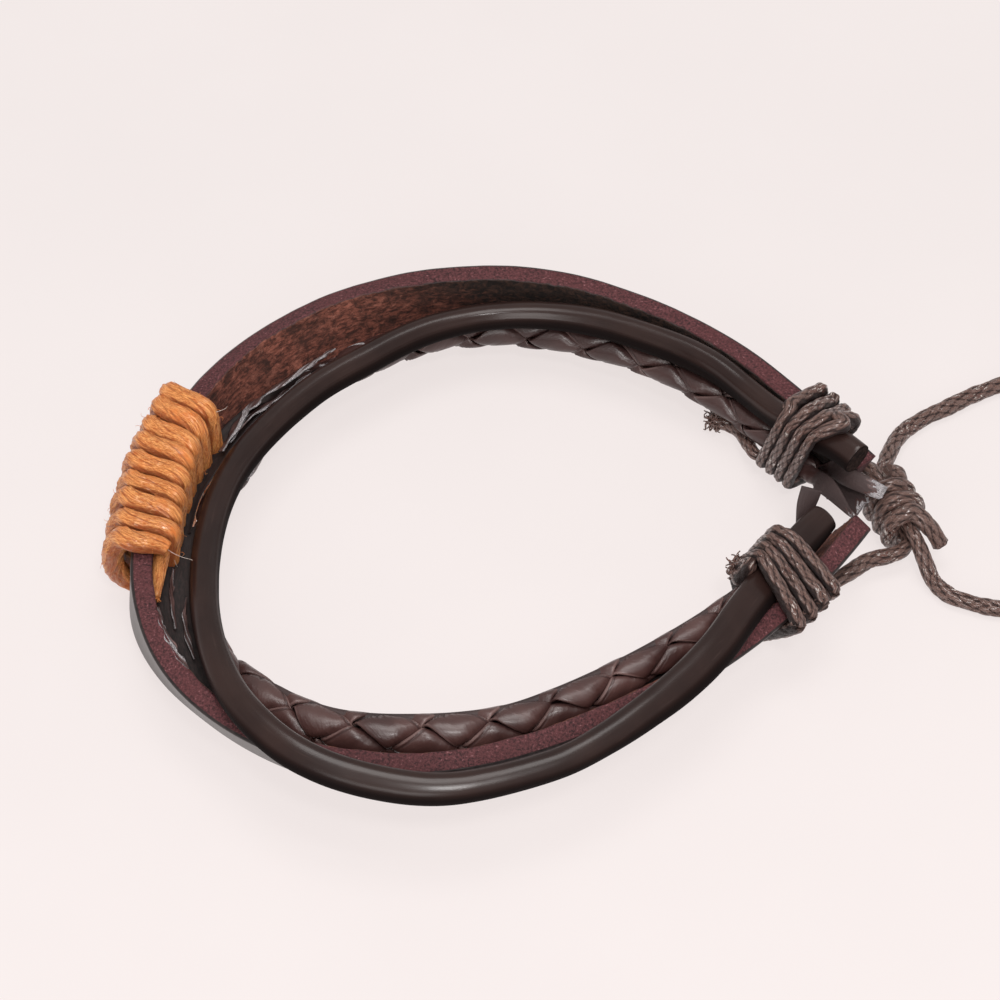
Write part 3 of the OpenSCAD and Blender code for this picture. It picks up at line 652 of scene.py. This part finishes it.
def strap_frame(s):
    """Middle, heading and directions across the strap at distances along it."""
    s = np.asarray(s, float)
    row = row_at(strap, strap_far, s)
    t = unit(row_at(strap_heading, strap_far, s))
    return row[..., :3], t, across(t, row[..., 3])


def soft_box(wide, high, corner, points):
    """Outline of a box with round corners, from its lower outer corner upwards, by equal steps round it."""
    turn = np.linspace(0, np.pi / 2, 5)
    line = [[wide / 2, corner - high / 2]]
    for k, (x, y) in enumerate([(1, 1), (-1, 1), (-1, -1), (1, -1)]):
        a = turn + k * np.pi / 2
        centre = np.array([x * (wide / 2 - corner), y * (high / 2 - corner)])
        line.extend(centre + corner * at_angle(a))
    line = np.array(line)
    far = reach(line)
    return row_at(line, far, np.arange(points) / points * far[-1]), np.arange(points + 1) / points * far[-1]


def flat_strap():
    """Box with round corners carried along the strap, whose edges waver and whose suede side has a nap.
    Its upper end is cut aslant: a ring's places move back by cut x height / width, and the cut fades
    out over 14 mm."""
    outline, around = soft_box(STRAP_T, STRAP_W, 0.24, 96)
    end = strap_far[-1] - STRAP_TRIM
    s = np.r_[np.arange(0, end, 0.6), end]
    s = STRAP_CUT / 2 + s * (end - STRAP_CUT / 2) / s[-1]
    centre, t, pair = strap_frame(s)
    shape = np.repeat(outline[None], len(s), 0)
    wave = wander(s, 5, 1)[:, None] * 0.05 + wander(s, 1.3, 2)[:, None] * 0.02
    shape[..., 1] += np.sign(shape[..., 1]) * wave * (np.abs(shape[..., 1]) > STRAP_W / 2 - 0.5)
    inner = np.clip((-shape[..., 0] - 0.8) * 4, 0, 1)
    height = shape[..., 1]
    nap = wander(s[:, None] + height * 3, 0.9, 3) + wander(s[:, None] * 0.7 - height * 2, 0.6, 4)
    shape[..., 0] += inner * 0.05 * nap
    grid = laid(centre, pair, shape)
    slant = STRAP_CUT * np.clip(1 - (s - s[0]) / 14, 0, 1)
    grid -= t[:, None] * (shape[..., 1:] / STRAP_W * slant[:, None, None])
    return skin(grid, s, around)


def end_faces(made):
    """A skin whose end rings have mark 1, for the finish of its cut ends."""
    places, faces, uv, mark = made
    points = faces[1].shape[1]
    mark = mark.copy()
    mark[:points] = mark[-points:] = 1
    return places, faces, uv, mark


def smooth_cord():
    """Oval of half widths h and CORD_R^2 / h, a little fuller than an ellipse, with two shallow creases
    along its inner side that fade out where the cord turns down at the left. The mark, which the
    finish turns into painted shade, grows from its top, where the outward direction's z is 0.62 and
    more, to its lower side."""
    path = softened(spaced(shifted(CORD_ROWS), 0.5), 6)
    s = reach(path)
    a = (np.arange(48) + 0.5) * TAU / 48
    half = path[:, 3][:, None]
    full = (np.abs(np.cos(a)) ** 2.3 + np.abs(np.sin(a)) ** 2.3) ** (-1 / 2.3)
    outline = np.stack([CORD_R**2 / half * np.cos(a) * full, half * np.sin(a) * full], -1)
    crease = bell(np.degrees(a), 196, 9) + 0.5 * bell(np.degrees(a), 166, 8)
    fade = np.clip((s - 12) / 8, 0, 1) * np.clip((86 - s) / 14, 0, 1)
    outline *= (1 - 0.1 * crease * fade[:, None])[..., None]
    swell = 1 + 0.012 * wander(s, 7, 5)[:, None] + 0.006 * wander(s[:, None] + 9 * np.cos(a), 1.7, 6)
    outline *= swell[..., None]
    grid = laid(path, across(headings(path), path[:, 4]), outline)
    grid = np.concatenate([rounded_end(grid[0], grid[1]), grid[1:-1], rounded_end(grid[-1], grid[-2])[::-1]])
    low = unit(grid - grid.mean(1)[:, None])[..., 2]
    return skin(grid, mark=np.clip(0.62 - low, 0, 0.8))


def rounded_end(ring, next_ring):
    """Rings of a cut end with a soft rim: the end's own ring drawn in a little, and one just behind it."""
    rim = 0.12
    middle = ring.mean(0)
    inward = unit(next_ring.mean(0) - middle)
    size = np.linalg.norm(ring - middle, axis=1).mean()
    return np.array([middle + (ring - middle) * (1 - rim / size), ring + inward * rim])


# Braid: rings of a strip in each of its turns, how steeply it dives, the stretch whose rims are torn, and
# the stretch that has a thin strand beside it
STRIP_RINGS, STEEP = 44, 4
PEELED_FROM, PEELED_TO = 44, 76
STRAND_FROM, STRAND_TO = 96, 160
BRAID = softened(spaced(shifted(BRAID_ROWS), 0.4), 7)
BRAID_FAR = reach(BRAID)


def strip_outline():
    """Flat strip with blunt rims: x across it from -1 to 1, and y through it."""
    a = (np.arange(40) + 0.5) * TAU / 40
    x = np.sign(np.cos(a)) * np.abs(np.cos(a)) ** 0.7
    return x, np.sign(np.sin(a)) * np.abs(np.sin(a)) ** 0.6 * STRIP_THIN * 0.8


def loose_end(rows, first, seed):
    """Rings and marks of a strip's end past a knot, which lies flat along its rows. One that comes first
    is torn: its tip is cut back unevenly by up to 0.55 mm, and its mark falls from the tip inwards, so
    that the finish shows the torn leather there."""
    x, y = strip_outline()
    path = smooth(shifted(rows), 12)
    shape = np.stack([np.broadcast_to(y * 0.65 + 0.06 * x**2, (len(path), len(y))), x * path[:, 3:4]], -1)
    grid = laid(path, across(headings(path), path[:, 4]), shape)
    if not first:
        return grid, np.full(grid.shape[:2], -0.6)
    tip = reach(path)[:, None]
    mark = (2.3 if rows is LOOSE_1 else 1.5) - tip * 0.8 + 0.5 * wander(x * 2.3 + tip, 0.5, 31 + seed)
    mark = np.where(mark > 1.05, np.minimum(mark, 2), -0.6)
    torn = np.clip(1 - tip / 0.8, 0, 1) * (0.5 + 0.5 * wander(x * 3 + 7, 0.4, 41 + seed))
    grid += headings(path)[:, None] * (torn * 0.55)[..., None]
    return grid, mark


def braid_strip(way, start, before, after):
    """Strip of the braid: at a share f of the braid it goes round by way x turns x f. Each of its places
    lies on top of the crossing strips or under them by a steepened cosine of the place's own angle
    against them, so that it is flat in the middle of a leaf and dives at the leaf's ends. One rim stands
    up over the next leaf, and flakes are torn off the rims of the stretch that goes behind the smooth
    cord. Loose ends are set before and after it."""
    x, y = strip_outline()
    share = np.abs(x)
    seed = 10 + start + way
    f = np.linspace(0, 1, BRAID_TURNS * STRIP_RINGS + 1)
    s = f * BRAID_FAR[-1]
    row = row_at(BRAID, BRAID_FAR, s)
    out, up = across(unit(row_at(headings(BRAID), BRAID_FAR, s)), np.zeros(len(s)))
    phase = (f * BRAID_TURNS * TAU + 0.1 * wander(s, 3.3, seed + 3))[:, None]
    side = x * STRIP_SIDE * (1 + 0.04 * wander(s, 3.1, seed))[:, None]
    over = way * np.cos(2 * phase + way * side)
    level = BRAID_WAVE * np.tanh(STEEP * over) / np.tanh(STEEP)
    crown = 0.04 * (1 - x**2) + (0.08 * wander(s, 2.9, seed + 1)[:, None] - 0.14) * x
    radius = (BRAID_R + level + y + crown) * row[:, 3:] + 0.03 * wander(s, 1.7, seed + 2)[:, None]
    angle = np.radians(start) + way * phase + side
    grid = laid(row, (out, up), radius[..., None] * at_angle(angle))
    peeled = np.clip((s - PEELED_FROM) / 5, 0, 1) * np.clip((PEELED_TO - s) / 4, 0, 1)
    flakes = 0.9 + 0.75 * wander(s[:, None] * 1.1 + 2 * x, 0.8, seed + 4)
    mark = np.where((share > 0.55) & (peeled[:, None] * flakes > 0.95), 1.0 + flakes * 0.3, share)
    parts = [(grid, mark)]
    if before:
        parts.insert(0, loose_end(before, True, start))
    if after:
        parts.append(loose_end(after, False, start))
    rings, marks = zip(*parts)
    return skin(np.concatenate(rings), mark=np.concatenate(marks))


def peel(rows, seed, torn):
    """Sliver of leather 0.14 mm thick along rows. A torn one has wandering rims, ripples and a mark that
    varies about 1; one that isn't torn is arched across and has mark -1, which the finish paints nearly
    black as shade."""
    path = spaced(shifted(rows), 0.12, 12)
    s = reach(path)
    one_way = np.linspace(-1, 1, 13)
    x = np.r_[one_way, one_way[::-1]]
    y = np.repeat([-0.07, 0.07], 13)
    rim = wander(s[:, None] + 5 * np.sign(x), 0.9 if torn else 1.9, seed) * np.abs(x)
    ripple = 0.12 * torn * wander(s[:, None] * 0.9 + x, 1.1, seed + 1) - 0.25 * (1 - torn) * x**2
    wide = path[:, 3:4] * ((0.75 if torn else 1.0) + (0.5 if torn else 0.08) * rim)
    shape = np.stack([y + ripple, x * wide], -1)
    mark = 0.85 + 0.4 * torn + 0.45 * wander(s[:, None] * 0.8 + 1.5 * x, 0.7, seed + 2) + 0.2 * x
    return skin(laid(path, across(headings(path), path[:, 4]), shape), mark=mark if torn else -1.0)


def inner_strand():
    """Round smooth strand 0.9 mm thick that runs along the upper inner side of the braid's near stretch
    and thins out over 8 mm at its ends."""
    path = BRAID[(BRAID_FAR > STRAND_FROM) & (BRAID_FAR < STRAND_TO)].copy()
    out, up = across(headings(path), np.zeros(len(path)))
    inward = np.sign(-np.sum(out * path[:, :3], axis=1).mean())
    path[:, :3] += (inward * out * 1.02 + up * 0.86) * path[:, 3:]
    a = np.arange(20) * TAU / 20
    swell = np.clip(np.minimum(reach(path), reach(path)[-1] - reach(path)) / 8, 0.15, 1)
    outline = at_angle(a) * 0.46 * (swell * path[:, 3])[:, None, None]
    return skin(laid(path, carried(path), outline), mark=-0.6)


# Waxed cords: the distance between their rings, how deep the dark cord's weave and the orange cord's
# fibres are as shares of the radius, and how many hairs a frayed tail and the wrap have
RING_STEP, WRAP_STEP = 0.15, 0.16
WEAVE_DEPTH, FIBRE_DEPTH = 0.17, 0.14
TAIL_HAIRS, WRAP_HAIRS = 170, 350


def furthest(points, way):
    """The point of several that reaches furthest one way."""
    points = np.array(points, float)
    return points[np.argmax(points @ way)]


def crossing(path, centre, t):
    """Row at which a strand crosses the section through a centre with heading t, within 12 mm of it, or
    None past the strand's ends."""
    d = (path[:, :3] - centre) @ t
    near = np.linalg.norm(path[:, :3] - centre, axis=1) < 12
    hits = np.nonzero((d[:-1] * d[1:] <= 0) & near[:-1])[0]
    if not len(hits):
        return None
    i = hits[0]
    return path[i] + (path[i + 1] - path[i]) * d[i] / (d[i] - d[i + 1])


CORD = smooth(shifted(CORD_ROWS), 4)
STRAP_CORNERS = [[a * STRAP_T / 2, b * STRAP_W / 2] for a in (-1, 1) for b in (-1, 1)]
BRAID_OUT = BRAID_R + BRAID_WAVE + STRIP_THIN + 0.05


def bundle_edge(s, way):
    """Point of the bundle of strap, smooth cord and braid at a distance s that reaches furthest one way."""
    centre, t, pair = strap_frame(s)
    points = list(STRAP_CORNERS)
    cord = crossing(CORD, centre, t)
    if cord is not None:
        turn = np.radians(cord[4] - np.interp(s, strap_far, strap[:, 3]))
        ways = np.array([[np.cos(turn), -np.sin(turn)], [np.sin(turn), np.cos(turn)]])
        halves = np.array([CORD_R**2 / cord[3], cord[3]])
        pulled = halves * (ways @ way)
        points.append(pair @ (cord[:3] - centre) + (halves * pulled) @ ways / np.linalg.norm(pulled))
    braid = crossing(BRAID, centre, t)
    if braid is not None:
        points.append(pair @ (braid[:3] - centre) + way * BRAID_OUT * braid[3])
    return furthest(points, way)


def winding(turns, start):
    """Turns made by each row of a wound cord, the first half a row in, and the angles there."""
    turn = (np.arange(round(turns * TURN_RINGS) + 1) + 0.5) / TURN_RINGS
    return turn, np.radians(start) + turn * TAU


def wound(distances, ways, edges, off, girth):
    """Rows of a cord wound round the strap: at each distance the edge's point and off beyond it one way,
    with a little more for what the steps between rows cut off."""
    centre, t, pair = strap_frame(distances)
    p = np.array(edges) + ways * off / CHORD
    places = centre + p[:, :1] * pair[0] + p[:, 1:] * pair[1]
    return np.column_stack([places, np.full(len(p), girth)])


def wound_on_bundle(start_at, rise, turns, start, slant):
    """Rows of a knot's turns round the whole bundle, each set back along the strap by slant x its own
    height. On the inner side they are drawn together by a quarter and a fifth thinner."""
    turn, angles = winding(turns, start)
    distances, edges = [], []
    for level, way in zip(start_at + turn * rise, at_angle(angles)):
        distances.append(level - slant * bundle_edge(level, way)[1])
        edges.append(bundle_edge(distances[-1], way))
    rows = wound(distances, at_angle(angles), edges, WAX_D * KNOT_GIRTH / 2 + PLAY - 0.04, KNOT_GIRTH)
    centre, t, pair = strap_frame(start_at + rise * turns / 2)
    pinch = 0.25 * np.clip(0.5 - np.cos(angles) - 0.4 * np.sin(angles), 0, 1)
    rows[:, :3] -= t * (((rows[:, :3] - centre) @ t) * pinch)[:, None]
    rows[:, 3] *= 1 - pinch * 0.85
    return rows


def weave(u, a):
    """Height, 0 to 1, of a round braid of six strands each way at a distance u along and an angle a
    round it: in each diamond one strand lies on top, domed across itself, sinking at its ends and by
    chance lower than others."""
    p, q = 6 * a / TAU + u / 2.1, 6 * a / TAU - u / 2.1
    i, j = np.floor(p).astype(int), np.floor(q).astype(int)
    x, y = 2 * (p - i) - 1, 2 * (q - j) - 1
    first = (i + j) % 2 < 1
    over, run = np.where(first, x, y), np.where(first, y, x)
    chance = np.random.default_rng(9).uniform(0.72, 1, 128)[(5 * i + 3 * j) % 128]
    return (1 - over**2) ** 0.7 * (1 - 0.45 * run**2) * chance


def fibrous(u, a):
    """Height, 0 to 1, of uneven bundles of fibres that go round the cord in about 27 mm: three cosines of
    a growing number of bundles, each shifted by chance along the cord."""
    b = a + TAU * u / 27
    few = np.cos(4 * b + 3 * wander(u, 3.3, 91))
    more = np.cos(9 * b + 3.5 * wander(u, 2.2, 92) - 0.5 * u)
    many = np.cos(15 * b + 4 * wander(u, 1.6, 93) + 0.8 * u)
    return 0.5 + 0.14 * few + 0.2 * more + 0.16 * many


def round_cord(path, d, height, deep, seed, points=40):
    """Cord of diameter d times its girth: its radius is less by deep x (1 - height), swells by chance and
    is uneven round it. Its rings, distances along, distances around and heights."""
    u = reach(path)
    a = np.arange(points) * TAU / points
    h = height(u[:, None] + 0.45 * wander(u, 2.3, seed)[:, None], a + 0.3 * wander(u, 1.6, seed + 3)[:, None])
    radius = d / 2 * path[:, 3:4] * (1 - deep * (1 - h) + 0.045 * wander(u, 1.9, seed + 1)[:, None])
    radius = radius * (1 + 0.03 * wander(u[:, None] * 0.8 + 3 * np.sin(a), 0.8, seed + 2))
    grid = laid(path, carried(path), radius[..., None] * at_angle(a))
    return grid, u, np.append(a, TAU) * d / 2, h


def shaded_gaps(parts, first=0, final=None):
    """A cord's rings, whose heights, for the finish alone, fall to 0.15 of themselves where the turns of
    a stretch face each other along the strap, so that the finish paints shade in the gaps between turns."""
    grid, u, around, h = parts
    centre = grid[first:final].mean(1)
    near = np.argmin(np.linalg.norm(centre[:, None] - strap[None, ::4, :3], axis=2), axis=1) * 4
    facing = np.abs(np.einsum("ijk,ik->ij", unit(grid[first:final] - centre[:, None]), strap_heading[near]))
    h = h.copy()
    h[first:final] *= 1 - 0.85 * np.clip((facing - 0.62) / 0.3, 0, 1)
    return grid, u, around, h


def fibres(roots, ways, length, spread, thick, curl, seed):
    """Loose fibres, one from each root: a tapering thread that leans off its way by chance and winds in
    a widening curl."""
    chance = np.random.default_rng(seed)
    made = []
    t = np.linspace(0, 1, 11)[:, None]
    a = np.arange(5) * TAU / 5
    for root, way in zip(np.asarray(roots, float), np.asarray(ways, float)):
        lean = unit(way + chance.normal(0, spread, 3))
        one = unit(np.cross(lean, chance.normal(0, 1, 3)))
        other = np.cross(lean, one)
        winds = chance.uniform(2, 6)
        size = length * chance.uniform(0.5, 1)
        path = root + size * lean * t + curl * t * (np.sin(winds * t) * one + (1 - np.cos(winds * t)) * other)
        path[:, 2] = np.maximum(path[:, 2], thick - 0.01)
        path = np.column_stack([path, 1 - 0.6 * t])
        outline = at_angle(a) * thick * path[:, 3, None, None]
        made.append(skin(laid(path, carried(path), outline), mark=0.6))
    return made


def fuzz(parts, count, length, seed):
    """Short hairs that stand off a cord's rings at chosen places, half outwards and half along it."""
    grid = parts[0]
    chance = np.random.default_rng(seed)
    i, j = chance.integers(3, len(grid) - 3, count), chance.integers(0, grid.shape[1], count)
    out = unit(grid[i, j] - grid[i].mean(1))
    along = unit(grid[i + 2, j] - grid[i - 2, j]) * chance.choice([-1, 1], count)[:, None]
    return fibres(grid[i, j] - out * 0.05, out + along, length, 0.35, 0.03, 0.25, seed)


def cut(parts, first=0, final=None):
    """Skin of a stretch of a cord's rings."""
    grid, u, around, h = parts
    ends = slice(first, final)
    return skin(grid[ends], u[ends], around, h[ends])


def knot_and_tie(knot, tie_name, tail, turns, tie, seed):
    """Both pieces of one cord, which runs from its frayed tail through a knot's turns and on as a free
    tie to the photo's edge."""
    path = spaced(np.vstack([shifted(tail), turns, shifted(tie)]), RING_STEP, 12)
    split = int(np.argmin(np.linalg.norm(path[:, :3] - turns[-1][:3], axis=1)))
    parts = shaded_gaps(round_cord(path, WAX_D * 1.02, weave, WEAVE_DEPTH, seed), 12, split)
    made = piece(tie_name, dark_wax, "dark_waxed_cord", [cut(parts, split)], tie_name + "_cord")
    way = unit(path[0, :3] - path[8, :3])
    roots = path[3, :3] + np.random.default_rng(seed).normal(0, 0.4, (TAIL_HAIRS, 3))
    frayed = fibres(roots, np.repeat(way[None], TAIL_HAIRS, 0), 0.8, 0.7, 0.15, 0.35, seed + 5)
    piece(knot + "_cord", dark_wax, "dark_waxed_cord", [cut(parts, 0, split + 1), *frayed], knot)


dark_wax = dark_wax_finish()
tight = WAX_D * KNOT_GIRTH
upper_wound = wound_on_bundle(UPPER_FROM, -tight - 0.1, UPPER_TURNS, UPPER_START, UPPER_SLANT)
lower_wound = wound_on_bundle(LOWER_FROM, tight + 0.15, LOWER_TURNS, LOWER_START, LOWER_SLANT)
knot_and_tie("upper_knot", "lower_tie", UPPER_TAIL, upper_wound, LOWER_TIE, 50)
knot_and_tie("lower_knot", "upper_tie", LOWER_TAIL, lower_wound, UPPER_TIE, 60)


def sliding_knot():
    """Turns round the two tie cords along the line from its lower to its upper end, and its stub."""
    low, high = np.array(SLIDE_LOW) - MIDDLE, np.array(SLIDE_HIGH) - MIDDLE
    out, up = across(unit(high - low), np.zeros(()))
    apart = (WAX_D * SQUEEZE + PLAY) / 2
    off = WAX_D * SQUEEZE / 2 + PLAY + WAX_D / 2
    turn, angles = winding(SLIDE_TURNS, SLIDE_START)
    rows = []
    for share, way in zip(turn / SLIDE_TURNS, at_angle(angles)):
        p = furthest([[0, apart], [0, -apart]], way) + way * off / CHORD
        rows.append([*(low + (high - low) * share + out * p[0] + up * p[1]), 1])
    path = spaced(np.vstack([shifted(SLIDE_STUB), rows]), RING_STEP, 12)
    return cut(round_cord(path, WAX_D * 1.08, weave, WEAVE_DEPTH, 70))


piece("sliding_knot_cord", dark_wax, "dark_waxed_cord", [sliding_knot()], "sliding_knot")


def orange_wrap():
    """Uneven turns round the strap's bulging hull, the first shifted and lifted off so that it lies like
    a cap, then the tail that tapers to its cut tip; and the cord's fuzz."""
    turn, angles = winding(WRAP_TURNS, WRAP_START)
    edges = [furthest(WRAP_HULL, way) for way in at_angle(angles)]
    leads = np.interp(np.degrees(angles + np.pi / 2) % 360, *zip(*WRAP_LEADS))
    cap = 0.8 * bell(turn, 0.3, 0.25) - 0.2 * bell(turn, 0.72, 0.2)
    places = WRAP_FROM + turn * (WRAP_D + 0.2) + leads + 0.22 * wander(turn, 0.37, 94) + cap
    rows = wound(places, at_angle(angles), edges, WRAP_D / 2 + PLAY, 1.04)
    rows[:, 2] += 0.35 * bell(turn, 0.55, 0.22) + 0.16 * wander(turn, 0.31, 95)
    rows[:, 3] *= 1 + 0.06 * wander(turn, 0.43, 96)
    path = softened(spaced(rows[:-2], WRAP_STEP, 12), 8)
    path[-14:, 3] *= np.linspace(1, 0.75, 14)
    parts = shaded_gaps(round_cord(path, WRAP_D, fibrous, FIBRE_DEPTH, 80, 48))
    tail = spaced(shifted(WRAP_TAIL), WRAP_STEP, 12)
    way = unit(tail[-1, :3] - tail[-9, :3])
    tip = fibres(np.repeat(tail[-3:-2, :3], 16, 0), np.repeat(way[None], 16, 0), 0.9, 0.2, 0.14, 0.1, 85)
    tail = round_cord(tail, WRAP_D, fibrous, FIBRE_DEPTH, 83, 48)
    return [cut(parts), cut(tail), *tip, *fuzz(parts, WRAP_HAIRS, 0.55, 86)]


piece("orange_wrap_cord", orange_wax_finish(), "orange_waxed_cord", orange_wrap(), "orange_wrap")
piece("flat_strap_leather", strap_finish(), "strap_leather", [end_faces(flat_strap())], "flat_strap")
piece("smooth_cord_leather", smooth_finish(), "smooth_leather", [end_faces(smooth_cord())], "smooth_cord")
braided = braid_finish()
slivers = [peel(rows, 61 + k, torn) for k, (torn, rows) in enumerate(PEELS)]
# Strips pressed flat, nearly black as painted shade in the gaps
shade_strips = [peel(rows, 64, 0) for rows in SHADE_STRIPS]
strips = [
    (1, 0, LOOSE_1, None, slivers + shade_strips),
    (1, 180, LOOSE_2, LOOSE_LOW, []),
    (-1, 0, None, None, [inner_strand()]),
    (-1, 180, LOOSE_4, None, []),
]
for number, (way, start, before, after, extra) in enumerate(strips, 1):
    skins = [braid_strip(way, start, before, after), *extra]
    piece("braid_strip_%d" % number, braided, "braided_leather", skins, "braid_strand_%d" % number)

# Pale hairs: one across the strap below the wrap, and some that hang between the strap and the braid
hair_roots = [
    [-36.4, -8.6, 8.6], [-32.4, -9.4, 9.0], [-31.2, -8.2, 8.6], [-30.6, -5.0, 7.6], [-29.4, 3.4, 9.4],
]
hair_ways = [[1, -0.12, 0.12], [0.6, -1, 0.1], [0.3, -1, -0.3], [0.2, -1, 0.2], [0.5, 0.8, 0.4]]
hairs = fibres(shifted(hair_roots), hair_ways, 5.2, 0.08, 0.035, 0.8, 97)
piece("pale_hairs", hair_finish(), "orange_waxed_cord", hairs)

# Table and light: a pale table that glows as painted light, in an even bright room, with a wide soft
# lamp above, one in front and a small one between them for the glints
size = 1.6
half = np.array([[-1, -1], [1, -1], [1, 1], [-1, 1]]) * size / 2
mesh = bpy.data.meshes.new("table")
mesh.from_pydata([(x, y, 0.0) for x, y in half.tolist()], [], [(0, 1, 2, 3)])
mesh.materials.append(table_finish())
table = bpy.data.objects.new("table", mesh)
scene.collection.objects.link(table)

world = bpy.data.worlds.new("room")
world.use_nodes = True
background = world.node_tree.nodes["Background"]
background.inputs["Color"].default_value = (1.0, 0.965, 0.95, 1.0)
background.inputs["Strength"].default_value = 0.55
scene.world = world


def lamp(name, place, aim, wide, power, colour):
    """Square soft lamp at a place, turned to an aim, in metres and watts."""
    light = bpy.data.lights.new(name, "AREA")
    light.shape = "SQUARE"
    light.size = wide
    light.energy = power
    light.color = colour
    made = bpy.data.objects.new(name, light)
    made.location = place
    way = Vector(aim) - Vector(place)
    made.rotation_euler = way.to_track_quat("-Z", "Y").to_euler()
    scene.collection.objects.link(made)


lamp("top_lamp", (0.02, 0.06, 0.7), (0, 0, 0), 0.35, 2.6, (1.0, 0.97, 0.95))
lamp("front_lamp", (-0.12, -0.6, 0.34), (0, 0, 0), 0.3, 1.6, (1.0, 0.97, 0.95))
lamp("near_lamp", (0.06, -0.3, 0.56), (0, 0, 0), 0.08, 1.4, (1.0, 0.98, 0.97))
